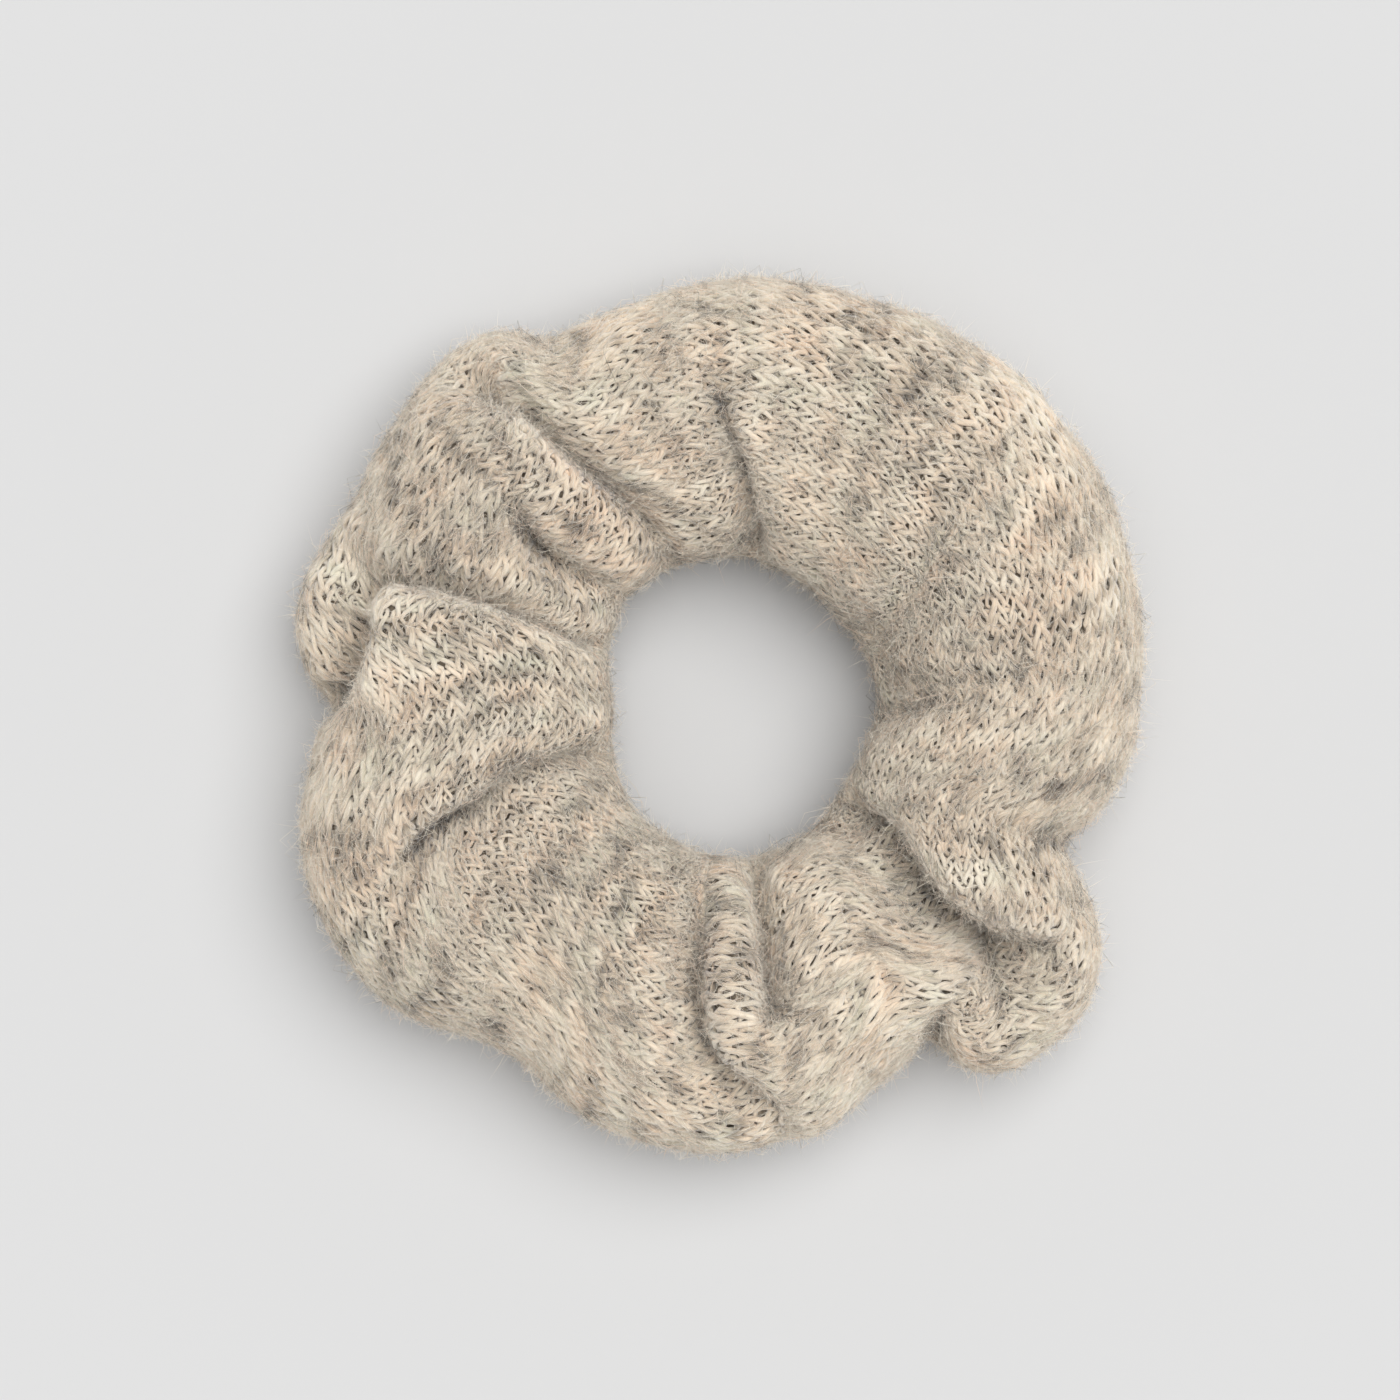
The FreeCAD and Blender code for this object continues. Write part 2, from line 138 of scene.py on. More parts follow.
# Hollows with no edge: angle, radius, how deep and how wide.
HOLLOWS = [
    (129, 58.0, 5.5, 3.6),
    (160, 56.6, 7.5, 4.0),
    (168, 56.2, 7.0, 3.2),
    (176, 57.2, 5.5, 2.6),
    (316, 49.5, 6.0, 5.0),
    (313, 52.5, 5.0, 3.6),
    (208, 39.6, 1.6, 8.0),
    (92, 44.0, 1.8, 5.0),
]

TURN_STEPS = 1440       # rows of the ring's grid
SECTION_STEPS = 160     # places round the tube
COURSES = 154
WALES = 40
WALE_PITCH = 2.67
COURSE_DETAIL = 8       # rows of the fabric's grid to a course
SECTORS = 11            # yarn pieces, and as many fuzz pieces
COURSE_PITCH = 2.0      # courses closer than this bunch up at the ends of their panel


def middle_of_opening():
    """Plan position in millimetres of the middle of the elastic's round, which is the opening's."""
    low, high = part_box("elastic_band")
    radius = (high.x - low.x) / 2
    return (low.x + radius) / MM, (high.y - radius) / MM


def around(pairs, angles, blur):
    """Value at each angle of a list of (angle, value) pairs, its corners rounded over blur degrees."""
    step = 0.25
    fine = np.arange(0, 360, step)
    known = np.array(pairs, float)
    line = np.interp(fine, known[:, 0], known[:, 1], period=360)
    reach = int(4 * blur / step)
    offsets = np.arange(-reach, reach + 1)
    weights = np.exp(-0.5 * (offsets * step / blur) ** 2)
    smooth = sum(weight * np.roll(line, offset) for weight, offset in zip(weights, offsets))
    return np.interp(np.mod(angles, 360), fine, smooth / weights.sum(), period=360)


def power_curve(value, roundness):
    """Cosine or sine of a rounder or squarer oval."""
    return np.sign(value) * np.abs(value) ** (2 / roundness)


def base_ring():
    """Radius and height of the ring before it is creased, by angle (rows) and place on the section.

    A section starts at the opening's edge, goes over the top to the outside and back underneath,
    in equal lengths.
    """
    angles = np.arange(TURN_STEPS) * 360 / TURN_STEPS
    outer = around(OUTLINE, angles, blur=1.3) - SKIN
    inner = around(OPENING, angles, blur=6.0) + SKIN
    top = around(TOPS, angles, blur=8.0)
    fine = np.linspace(math.pi, -math.pi, 721)
    cosine, sine = np.cos(fine), np.sin(fine)
    above = sine >= 0
    across = np.where(above, power_curve(cosine, TOP_ROUNDNESS), power_curve(cosine, UNDERSIDE_ROUNDNESS))
    upwards = np.where(above, power_curve(sine, TOP_ROUNDNESS), power_curve(sine, UNDERSIDE_ROUNDNESS))
    radius = ((outer + inner) / 2)[:, None] + ((outer - inner) / 2)[:, None] * across
    height = TUBE_MIDDLE + np.where(above, (top - TUBE_MIDDLE)[:, None], TUBE_MIDDLE - LOWEST) * upwards
    length = np.zeros_like(radius)
    length[:, 1:] = np.cumsum(np.hypot(np.diff(radius), np.diff(height)), axis=1)
    even_radius = np.empty((TURN_STEPS, SECTION_STEPS))
    even_height = np.empty_like(even_radius)
    for row in range(TURN_STEPS):
        targets = np.arange(SECTION_STEPS) / SECTION_STEPS * length[row, -1]
        even_radius[row] = np.interp(targets, length[row], radius[row])
        even_height[row] = np.interp(targets, length[row], height[row])
    return angles, even_radius, even_height


def unit(vectors):
    """The vectors at length 1."""
    return vectors / np.maximum(np.linalg.norm(vectors, axis=-1, keepdims=True), 1e-9)


def normals_of(points):
    """Unit normals, outwards, of a grid of points that closes on itself both ways."""
    along = np.roll(points, -1, 0) - np.roll(points, 1, 0)
    over = np.roll(points, -1, 1) - np.roll(points, 1, 1)
    return -unit(np.cross(along, over))


def smooth_step(value, low, high):
    """0 below low, 1 above high, and smooth between."""
    share = np.clip((value - low) / (high - low), 0, 1)
    return share * share * (3 - 2 * share)


def plan_of(points):
    """The x and the y of an array of points."""
    return points[..., 0], points[..., 1]


def walk_points(crease):
    """Plan points and depths of a crease, on a smooth curve through its own points."""
    points = np.array([(radius * math.cos(math.radians(angle)), radius * math.sin(math.radians(angle)),
                        depth) for radius, angle, depth in crease["points"]])
    padded = np.vstack([2 * points[0] - points[1], points, 2 * points[-1] - points[-2]])
    steps = 8
    walked = []
    for before, start, end, after in zip(padded, padded[1:], padded[2:], padded[3:]):
        for step in range(steps):
            t = step / steps
            walked.append(0.5 * (2 * start + (end - before) * t
                                 + (2 * before - 5 * start + 4 * end - after) * t ** 2
                                 + (3 * start - before - 3 * end + after) * t ** 3))
    walked.append(points[-1])
    return np.array(walked)


def from_walk(plan, walked):
    """Signed distance of each plan point to a walk, the depth there, and the way to its left."""
    runs = np.diff(walked[:, :2], axis=0)
    lefts = np.stack([-runs[:, 1], runs[:, 0]], axis=1) / np.linalg.norm(runs, axis=1, keepdims=True)
    corners = np.vstack([lefts[:1], (lefts[1:] + lefts[:-1]) / 2, lefts[-1:]])
    best = np.full(plan.shape[:2], 1e9)
    signed = np.zeros_like(best)
    depth = np.zeros_like(best)
    left = np.zeros(plan.shape[:2] + (2,))
    for number, run in enumerate(runs):
        start = walked[number]
        share = np.clip(((plan - start[:2]) @ run) / (run @ run), 0, 1)
        away = plan - start[:2] - share[..., None] * run
        distance = np.hypot(away[..., 0], away[..., 1])
        turned = run[0] * away[..., 1] - run[1] * away[..., 0]
        nearer = distance < best
        best = np.where(nearer, distance, best)
        signed = np.where(nearer, np.where(turned >= 0, distance, -distance), signed)
        depth = np.where(nearer, start[2] + share * (walked[number + 1, 2] - start[2]), depth)
        way = corners[number] + share[..., None] * (corners[number + 1] - corners[number])
        left = np.where(nearer[..., None], way, left)
    return signed, np.maximum(depth, 0), left


def lobe_edge(overhang, steep):
    """How far beyond a crease's middle its lobe's edge shows from above, for each overhang."""
    known = np.linspace(0, max(float(overhang.max()), 0.1), 25)
    places = np.linspace(0, 4 * steep, 400)
    edges = []
    for value in known:
        moved = places + value * np.exp(-(places / steep) ** 2)
        folded_back = np.nonzero(np.diff(moved) < 0)[0]
        edges.append(moved[folded_back[-1] + 1] if len(folded_back) else value)
    return np.interp(overhang, known, edges)


def blurred(field, rows, columns):
    """A field over a closed grid, evened out by a bell of so many rows and columns."""
    for axis, sigma in ((0, rows), (1, columns)):
        reach = int(3 * sigma) + 1
        weights = np.exp(-0.5 * (np.arange(-reach, reach + 1) / sigma) ** 2)
        field = sum(weight * np.roll(field, offset, axis)
                    for offset, weight in zip(range(-reach, reach + 1), weights / weights.sum()))
    return field


def lattice_noise(across, along, columns, rows, generator):
    """Smooth noise from -1 to 1 that closes on itself, for places given as shares of 0 to 1."""
    lattice = generator.uniform(-1, 1, (rows, columns))
    x, y = across * columns, along * rows
    left, low = np.floor(x).astype(int), np.floor(y).astype(int)
    u, v = x - left, y - low
    u, v = u * u * (3 - 2 * u), v * v * (3 - 2 * v)
    corner = lattice[low % rows, left % columns]
    right = lattice[low % rows, (left + 1) % columns]
    above = lattice[(low + 1) % rows, left % columns]
    both = lattice[(low + 1) % rows, (left + 1) % columns]
    return (corner * (1 - u) + right * u) * (1 - v) + (above * (1 - u) + both * u) * v


def add_crease(shift, crease, plan, normals):
    """Adds to the fabric's shift what a crease, its lobe and its lip do."""
    side = crease["side"]
    signed, depth, left = from_walk(plan, walk_points(crease))
    strength = depth / max(point[2] for point in crease["points"])
    overhang = crease["overhang"] * strength
    across = signed * side + lobe_edge(overhang, crease["steep"])
    width = np.where(across > 0, crease["steep"], crease["gentle"])
    share = np.exp(-(across / width) ** 2)
    shift -= (share * depth)[..., None] * normals
    shift[..., :2] += (overhang * share * side)[..., None] * left
    lip_middle = 2.4 * crease["steep"]
    lip_width = 3.5
    lip = crease["lip"] * strength * np.exp(-((across - lip_middle) / lip_width) ** 2)
    shift += lip[..., None] * normals


def add_hollow(shift, hollow, plan, normals):
    """Adds to the fabric's shift what a round hollow does."""
    angle, distance, deep, wide = hollow
    turn = math.radians(angle)
    spot = distance * np.array((math.cos(turn), math.sin(turn)))
    away = np.hypot(*plan_of(plan - spot))
    shift -= (deep * np.exp(-(away / wide) ** 2))[..., None] * normals


def slack_waves(angles):
    """How far slack fabric waves in and out, by angle and place on the section."""
    generator = np.random.default_rng(11)
    place = np.arange(SECTION_STEPS)[None, :] / SECTION_STEPS
    share_round = (angles / 360)[:, None]
    return (0.45 * lattice_noise(place, share_round, 7, 26, generator)
            + 0.30 * lattice_noise(place, share_round, 14, 60, generator))


def keep_off_elastic(points, base_height):
    """Holds the top of the fabric above the elastic, and leaves it alone elsewhere."""
    away = np.abs(np.hypot(*plan_of(points)) - ELASTIC_RADIUS)
    near, far = 3.2, 5.5
    over_elastic = (base_height > TUBE_MIDDLE) * smooth_step(-away, -far, -near)
    far_below = 40
    least = LEAST_OVER_ELASTIC - far_below * (1 - over_elastic)
    softness = 0.5
    points[..., 2] = least + softness * np.logaddexp(0, (points[..., 2] - least) / softness)


def creased_ring():
    """Points of the fabric's middle surface, by angle and place on the section, from the opening."""
    angles, radius, height = base_ring()
    turn = np.radians(angles)[:, None]
    points = np.stack([radius * np.cos(turn), radius * np.sin(turn), height], axis=2)
    normals = normals_of(points)
    plan = points[..., :2]
    middle = (radius.max(1, keepdims=True) + radius.min(1, keepdims=True)) / 2
    on_show = np.where(radius < middle, smooth_step(height, *INSIDE_SHOWS),
                       smooth_step(height, *OUTSIDE_SHOWS))
    shift = np.zeros_like(points)
    for crease in CREASES:
        add_crease(shift, crease, plan, normals)
    for hollow in HOLLOWS:
        add_hollow(shift, hollow, plan, normals)
    shift += slack_waves(angles)[..., None] * normals
    moved = points + blurred(shift * on_show[..., None], rows=2.5, columns=1.0)
    moved[..., 2] = np.maximum(moved[..., 2], LOWEST)
    keep_off_elastic(moved, height)
    return radius, moved


def crease_rows(crease, base_radius):
    """Where a crease that parts two panels runs, as a row of the ring's grid for each place."""
    radii, turns, _ = zip(*crease["points"])
    middle_row = round(sum(turns) / len(turns) / 360 * TURN_STEPS)
    return np.interp(base_radius[middle_row], radii, turns) / 360 * TURN_STEPS


def bunched(share, mean_pitch):
    """Places along a panel, 0 to 1, of shares of its courses.

    Where the courses are too close, they bunch up at the panel's two ends, inside the creases.
    """
    most_crowding = 2.4
    end_pitch = 0.06
    crowding = min(max(COURSE_PITCH / mean_pitch, 1.0), most_crowding)
    hidden = (1 - 1 / crowding) / 2
    middles = (share[1:] + share[:-1]) / 2
    pitch = end_pitch + smooth_step(np.minimum(middles, 1 - middles), 0, 2 * hidden + 1e-6)
    place = np.concatenate([[0], np.cumsum(pitch * np.diff(share))])
    return place / place[-1]


def fabric_grid(base_radius, points):
    """The fabric's middle surface by course and place over the tube.

    Each panel between two creases has a whole number of courses along every wale, so that the
    fabric runs down into the creases and out again.
    """
    closed = np.concatenate([points, points[:1]])
    steps = np.linalg.norm(np.diff(closed, axis=0), axis=2)
    length = np.vstack([np.zeros(SECTION_STEPS), np.cumsum(steps, axis=0)])
    rows = np.arange(TURN_STEPS + 1)
    parting = np.array([crease_rows(crease, base_radius) for crease in CREASES if crease["parts"]])
    marks = np.empty_like(parting)
    for place in range(SECTION_STEPS):
        marks[:, place] = np.interp(parting[:, place], rows, length[:, place])
    marks = np.vstack([marks, marks[:1] + length[-1]])
    panels = np.diff(marks, axis=0).mean(1)
    parted = np.round(np.concatenate([[0], np.cumsum(panels / panels.sum())]) * COURSES)
    fabric = np.empty((COURSES * COURSE_DETAIL, SECTION_STEPS, 3))
    for place in range(SECTION_STEPS):
        target = []
        for first, last, start, end in zip(parted, parted[1:], marks[:, place], marks[1:, place]):
            share = np.linspace(0, 1, round((last - first) * COURSE_DETAIL) + 1)
            target.append(start + (end - start) * bunched(share, (end - start) / (last - first))[:-1])
        target = np.mod(np.concatenate(target), length[-1, place])
        row = np.interp(target, length[:, place], rows)
        for axis in range(3):
            fabric[:, place, axis] = np.interp(row, rows, closed[:, place, axis])
    return blurred(evened_wales(fabric), rows=1.5, columns=0.7)


def evened_wales(fabric):
    """The fabric with its wales spaced evenly round each section of the tube."""
    steps = np.linalg.norm(np.roll(fabric, -1, 1) - fabric, axis=2)
    steps = blurred(steps, rows=6.0, columns=1.0)
    places = np.arange(SECTION_STEPS + 1)
    even = np.empty_like(fabric)
    for row, section in enumerate(fabric):
        length = np.concatenate([[0], np.cumsum(steps[row])])
        place = np.interp(places[:-1] / SECTION_STEPS * length[-1], length, places)
        section = np.vstack([section, section[:1]])
        for axis in range(3):
            even[row, :, axis] = np.interp(place, places, section[:, axis])
    return even


def depth_in_crease(fabric, normals):
    """How far inside a crease or hollow each point of the fabric lies, 0 to 1."""
    around_it = blurred(fabric, rows=18, columns=4)
    below = ((around_it - fabric) * normals).sum(2)
    return smooth_step(blurred(below, rows=2, columns=1), 0.4, 3.0)[..., None]


def at_fabric(field, course, wale):
    """A field of the fabric at any course and wale, between its grid points."""
    x = course * COURSE_DETAIL
    y = wale * SECTION_STEPS / WALES
    low, left = np.floor(x).astype(int), np.floor(y).astype(int)
    u, v = (x - low)[..., None], (y - left)[..., None]
    rows, columns = field.shape[:2]
    corner = field[low % rows, left % columns]
    right = field[low % rows, (left + 1) % columns]
    above = field[(low + 1) % rows, left % columns]
    both = field[(low + 1) % rows, (left + 1) % columns]
    return (corner * (1 - v) + right * v) * (1 - u) + (above * (1 - v) + both * v) * u


def grid_object(name, points):
    """A mesh object of quads over a grid of points in millimetres, open at its edges."""
    rows, columns = points.shape[:2]
    number = np.arange(rows * columns).reshape(rows, columns)
    quads = np.stack([number[:-1, :-1], number[:-1, 1:], number[1:, 1:], number[1:, :-1]], axis=2)
    return mesh_object(name, points.reshape(-1, 3), quads.reshape(-1, 4))


def mesh_object(name, points, faces):
    """A smooth mesh object of points in millimetres and faces that all have as many corners."""
    mesh = bpy.data.meshes.new(name)
    corners = faces.shape[1]
    mesh.vertices.add(len(points))
    mesh.vertices.foreach_set("co", (np.asarray(points, np.float32) * MM).ravel())
    mesh.loops.add(faces.size)
    mesh.loops.foreach_set("vertex_index", faces.astype(np.int32).ravel())
    mesh.polygons.add(len(faces))
    mesh.polygons.foreach_set("loop_start", np.arange(0, faces.size, corners, dtype=np.int32))
    mesh.polygons.foreach_set("use_smooth", np.ones(len(faces), bool))
    mesh.update(calc_edges=True)
    made = bpy.data.objects.new(name, mesh)
    bpy.context.scene.collection.objects.link(made)
    return made


def set_layout(made, corners):
    """The object's bake layout, from the two coordinates of each corner of each face."""
    layout = made.data.uv_layers.new(name="OFBake")
    layout.data.foreach_set("uv", corners.astype(np.float32).ravel())


# ---------------------------------------------------------------- studio

def make_floor():
    """A pale, matt floor."""
    bpy.ops.mesh.primitive_plane_add(size=30.0, location=(0, 0, 0))
    floor = bpy.context.object
    floor.name = "floor"
    paper, shader, _ = new_material("paper", 0.9)
    shader.inputs["Base Color"].default_value = (0.615, 0.615, 0.615, 1)
    shader.inputs["Specular IOR Level"].default_value = 0.1
    floor.data.materials.append(paper)


def make_light():
    """A room that is bright low down and overhead and dimmer between, and a broad, soft lamp."""
    world = bpy.data.worlds.new("studio")
    world.use_nodes = True
    tree = world.node_tree
    sky = tree.nodes["Background"]
    place = tree.nodes.new("ShaderNodeTexCoord")
    parts = tree.nodes.new("ShaderNodeSeparateXYZ")
    tree.links.new(place.outputs["Generated"], parts.inputs["Vector"])
    light = ramp_colour(tree, parts.outputs["Z"], [
        (0.22, (1.0, 1.0, 1.0, 1.0)),
        (0.50, (0.17, 0.17, 0.17, 1.0)),
        (0.75, (0.22, 0.22, 0.22, 1.0)),
        (0.93, (0.98, 0.98, 0.98, 1.0)),
    ])
    tree.links.new(light, sky.inputs["Color"])
    sky.inputs["Strength"].default_value = 1.1
    bpy.context.scene.world = world

    lamp = bpy.data.lights.new("softbox", "SUN")
    lamp.energy = 2.22
    lamp.angle = math.radians(54)
    softbox = bpy.data.objects.new("softbox", lamp)
    softbox.rotation_euler = (math.radians(19.5), 0, math.radians(130))
    bpy.context.scene.collection.objects.link(softbox)


def make_camera():
    """A camera that looks straight down, a little off the ring's middle."""
    low, high = cad_box
    middle = ((low[0] + high[0]) / 2, (low[1] + high[1]) / 2)
    off_middle = (-0.0026, 0.0023)
    view_height = 0.75
    seen_height = 0.015
    frame_width = 0.1918
    camera = bpy.data.cameras.new("camera")
    camera.sensor_width = 36.0
    camera.lens = camera.sensor_width * (view_height - seen_height) / frame_width
    camera.clip_start = 0.01
    camera.clip_end = 50
    holder = bpy.data.objects.new("camera", camera)
    holder.location = (middle[0] + off_middle[0], middle[1] + off_middle[1], view_height)
    bpy.context.scene.collection.objects.link(holder)
    bpy.context.scene.camera = holder
    bpy.context.scene.view_settings.view_transform = "Standard"


# ---------------------------------------------------------------- materials

def from_screen(red, green, blue):
    """Scene colour of a colour as a screen names it, 0 to 255."""
    return tuple(((value / 255 + 0.055) / 1.055) ** 2.4 for value in (red, green, blue)) + (1.0,)


def new_material(name, roughness):
    """A new material, its shader and its node tree."""
    material = bpy.data.materials.new(name)
    material.use_nodes = True
    shader = material.node_tree.nodes["Principled BSDF"]
    shader.inputs["Roughness"].default_value = roughness
    shader.inputs["Specular IOR Level"].default_value = 0.25
    return material, shader, material.node_tree


def ramp_colour(tree, value, stops):
    """The colour that a value has on a ramp of (place, colour) stops."""
    ramp = tree.nodes.new("ShaderNodeValToRGB")
    elements = ramp.color_ramp.elements
    while len(elements) < len(stops):
        elements.new(0.5)
    for element, (place, colour) in zip(elements, stops):
        element.position = place
        element.color = colour
    tree.links.new(value, ramp.inputs["Fac"])
    return ramp.outputs["Color"]


def add_bump(tree, shader, height, strength, distance):
    """Raises the shader's surface by a height value, up to a distance in metres."""
    bump = tree.nodes.new("ShaderNodeBump")
    bump.inputs["Strength"].default_value = strength
    bump.inputs["Distance"].default_value = distance
    tree.links.new(height, bump.inputs["Height"])
    tree.links.new(bump.outputs["Normal"], shader.inputs["Normal"])


def point_value(tree, name):
    """A value that the mesh carries on its points."""
    attribute = tree.nodes.new("ShaderNodeAttribute")
    attribute.attribute_name = name
    return attribute.outputs["Fac"]


MARL_STOPS = [
    (0.0, from_screen(244, 236, 221)),
    (0.35, from_screen(224, 213, 196)),
    (0.6, from_screen(188, 177, 161)),
    (0.8, from_screen(138, 128, 115)),
    (1.0, from_screen(88, 80, 71)),
]


def yarn_streaks(tree):
    """Uneven fibres along the yarn and round it."""
    place = tree.nodes.new("ShaderNodeUVMap")
    place.uv_map = "OFBake"
    stretch = tree.nodes.new("ShaderNodeMapping")
    stretch.inputs["Scale"].default_value = (520, 210, 1)
    tree.links.new(place.outputs["UV"], stretch.inputs["Vector"])
    streaks = tree.nodes.new("ShaderNodeTexNoise")
    streaks.inputs["Scale"].default_value = 1.0
    streaks.inputs["Detail"].default_value = 3.0
    tree.links.new(stretch.outputs["Vector"], streaks.inputs["Vector"])
    return streaks.outputs["Fac"]


def yarn_material():
    """Brushed marl yarn: blended from cream to grey-brown fibres, uneven from place to place, and with
    painted shade deep in the creases.
    """
    material, shader, tree = new_material("marl_yarn", 0.92)
    nodes, links = tree.nodes, tree.links
    streaks = yarn_streaks(tree)
    spread = nodes.new("ShaderNodeMath")
    spread.operation = "MULTIPLY_ADD"
    spread.inputs[1].default_value = 0.80
    spread.inputs[2].default_value = -0.42
    links.new(streaks, spread.inputs[0])
    total = nodes.new("ShaderNodeMath")
    total.operation = "ADD"
    # The marl value holds the yarn's own marl plus painted shade in the creases.
    links.new(point_value(tree, "marl"), total.inputs[0])
    links.new(spread.outputs["Value"], total.inputs[1])
    hue = ramp_colour(tree, point_value(tree, "tint"), [
        (0.0, from_screen(234, 238, 230)),
        (0.45, from_screen(247, 243, 237)),
        (0.6, from_screen(250, 243, 234)),
        (1.0, from_screen(252, 235, 221)),
    ])
    blend = nodes.new("ShaderNodeMix")
    blend.data_type = "RGBA"
    blend.blend_type = "MULTIPLY"
    blend.inputs["Factor"].default_value = 1.0
    links.new(ramp_colour(tree, total.outputs["Value"], MARL_STOPS), blend.inputs["A"])
    links.new(hue, blend.inputs["B"])
    links.new(blend.outputs["Result"], shader.inputs["Base Color"])
    add_bump(tree, shader, streaks, 0.5, 0.00025)
    shader.inputs["Sheen Weight"].default_value = 0.8
    shader.inputs["Sheen Roughness"].default_value = 0.6
    return material


def fibre_material(name, colour):
    """One colour of loose fibre: even along its length, as a single hair is."""
    material, shader, _ = new_material(name, 0.75)
    shader.inputs["Base Color"].default_value = colour
    shader.inputs["Sheen Weight"].default_value = 0.6
    return material


def lining_material():
    """Inside of the knit: dense fibres seen between the stitches, darker than the yarn, partly their own
    grey-brown and partly painted shade.
    """
    material, shader, tree = new_material("knit_lining", 1.0)
    place = tree.nodes.new("ShaderNodeTexCoord")
    grain = tree.nodes.new("ShaderNodeTexNoise")
    grain.inputs["Scale"].default_value = 900
    grain.inputs["Detail"].default_value = 4
    tree.links.new(place.outputs["Object"], grain.inputs["Vector"])
    # Dark ramp: the fibres' own grey-brown with painted shade between the stitches.
    colour = ramp_colour(tree, grain.outputs["Fac"], [
        (0.3, from_screen(102, 93, 81)),
        (0.55, from_screen(144, 133, 117)),
        (0.75, from_screen(182, 169, 150)),
    ])
    tree.links.new(colour, shader.inputs["Base Color"])
    add_bump(tree, shader, grain.outputs["Fac"], 0.6, 0.0003)
    return material


def round_the_ring(tree, centre):
    """Nodes that give how far round the ring, in metres at about the elastic's radius, and the height."""
    loop_radius = 0.028
    nodes, links = tree.nodes, tree.links
    place = nodes.new("ShaderNodeTexCoord")
    shift = nodes.new("ShaderNodeVectorMath")
    shift.operation = "SUBTRACT"
    shift.inputs[1].default_value = (centre[0] * MM, centre[1] * MM, 0)
    links.new(place.outputs["Object"], shift.inputs[0])
    parts = nodes.new("ShaderNodeSeparateXYZ")
    links.new(shift.outputs["Vector"], parts.inputs["Vector"])
    turn = nodes.new("ShaderNodeMath")
    turn.operation = "ARCTAN2"
    links.new(parts.outputs["Y"], turn.inputs[0])
    links.new(parts.outputs["X"], turn.inputs[1])
    along = nodes.new("ShaderNodeMath")
    along.operation = "MULTIPLY"
    along.inputs[1].default_value = loop_radius
    links.new(turn.outputs["Value"], along.inputs[0])
    flat = nodes.new("ShaderNodeCombineXYZ")
    links.new(along.outputs["Value"], flat.inputs["X"])
    links.new(parts.outputs["Z"], flat.inputs["Y"])
    return flat.outputs["Vector"]


def slanted_bands(tree, vector, degrees, pitch):
    """Soft bands of one set of yarns or plies, at an angle and a pitch in metres."""
    turned = tree.nodes.new("ShaderNodeMapping")
    turned.inputs["Rotation"].default_value = (0, 0, math.radians(degrees))
    tree.links.new(vector, turned.inputs["Vector"])
    bands = tree.nodes.new("ShaderNodeTexWave")
    pitch_at_scale_1 = math.pi / 10
    bands.inputs["Scale"].default_value = pitch_at_scale_1 / pitch
    bands.inputs["Distortion"].default_value = 0.6
    bands.inputs["Detail"].default_value = 1.0
    tree.links.new(turned.outputs["Vector"], bands.inputs["Vector"])
    return bands.outputs["Fac"]


def elastic_material(centre):
    """Braided elastic: two sets of fine white yarns that cross over rubber cores."""
    material, shader, tree = new_material("braided_elastic", 0.7)
    vector = round_the_ring(tree, centre)
    slant = 38
    pitch = 0.0009
    crossing = tree.nodes.new("ShaderNodeMath")
    crossing.operation = "MAXIMUM"
    tree.links.new(slanted_bands(tree, vector, slant, pitch), crossing.inputs[0])
    tree.links.new(slanted_bands(tree, vector, -slant, pitch), crossing.inputs[1])
    colour = ramp_colour(tree, crossing.outputs["Value"], [
        (0.25, from_screen(170, 166, 156)),
        (0.6, from_screen(226, 223, 215)),
        (1.0, from_screen(242, 240, 234)),
    ])
    tree.links.new(colour, shader.inputs["Base Color"])
    add_bump(tree, shader, crossing.outputs["Value"], 0.7, 0.0003)
    return material


def thread_material():
    """Spun sewing thread: beige plies twisted together, with a faint shine."""
    material, shader, tree = new_material("sewing_thread", 0.55)
    place = tree.nodes.new("ShaderNodeTexCoord")
    slant = 40
    pitch = 0.0004
    plies = slanted_bands(tree, place.outputs["Object"], slant, pitch)
    colour = ramp_colour(tree, plies, [
        (0.2, from_screen(176, 162, 138)),
        (0.8, from_screen(222, 210, 188)),
    ])
    tree.links.new(colour, shader.inputs["Base Color"])
    add_bump(tree, shader, plies, 0.6, 0.0001)
    return material


def give_material(node, material):
    """A CAD node's surface gets a better material than its plain one."""
    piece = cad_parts[node]
    for number in range(len(piece.material_slots)):
        piece.material_slots[number].material = material
    if not piece.material_slots:
        piece.data.materials.append(material)


# ---------------------------------------------------------------- knit

LEG_LEAN = 0.30         # of a wale, how far a stitch's legs lean in at its neck
LOOP_REACH = 0.94       # of a course, half the length of a stitch
LOOP_DEPTH = 0.42       # how far the legs stand in front of the fabric's middle, and the ends behind
FOOT_DEPTH = 0.22       # how far the stitches' heads rise and their feet sink from that
YARN_RADIUS = 0.36
PAINTED_CREASE_SHADE = 0.55      # painted shade: how much darker the yarn and its fibres are coloured deep in a crease
YARN_POINTS = 14        # along one stitch
YARN_SIDES = 6


def marl_and_crease_shade_of(course, wale):
    """How dark the yarn is: its own marl, 0 to 1, plus painted shade deep inside a crease."""
    generator = np.random.default_rng(5)
    across, along = np.mod(wale / WALES, 1), np.mod(course / COURSES, 1)
    runs = lattice_noise(across, along, 11, COURSES, generator)
    specks = lattice_noise(across, along, 56, 2 * COURSES, generator)
    patches = lattice_noise(across, along, 7, 44, generator)
    bands = lattice_noise(across, along, 2, 36, generator)
    marl = np.clip(0.36 + 0.22 * runs + 0.36 * specks + 0.07 * patches + 0.05 * bands, 0, 1)
    # Painted shade: the yarn's colour is darkened deep inside creases and hollows.
    return marl + PAINTED_CREASE_SHADE * at_fabric(crease_depth, course, wale)[..., 0]


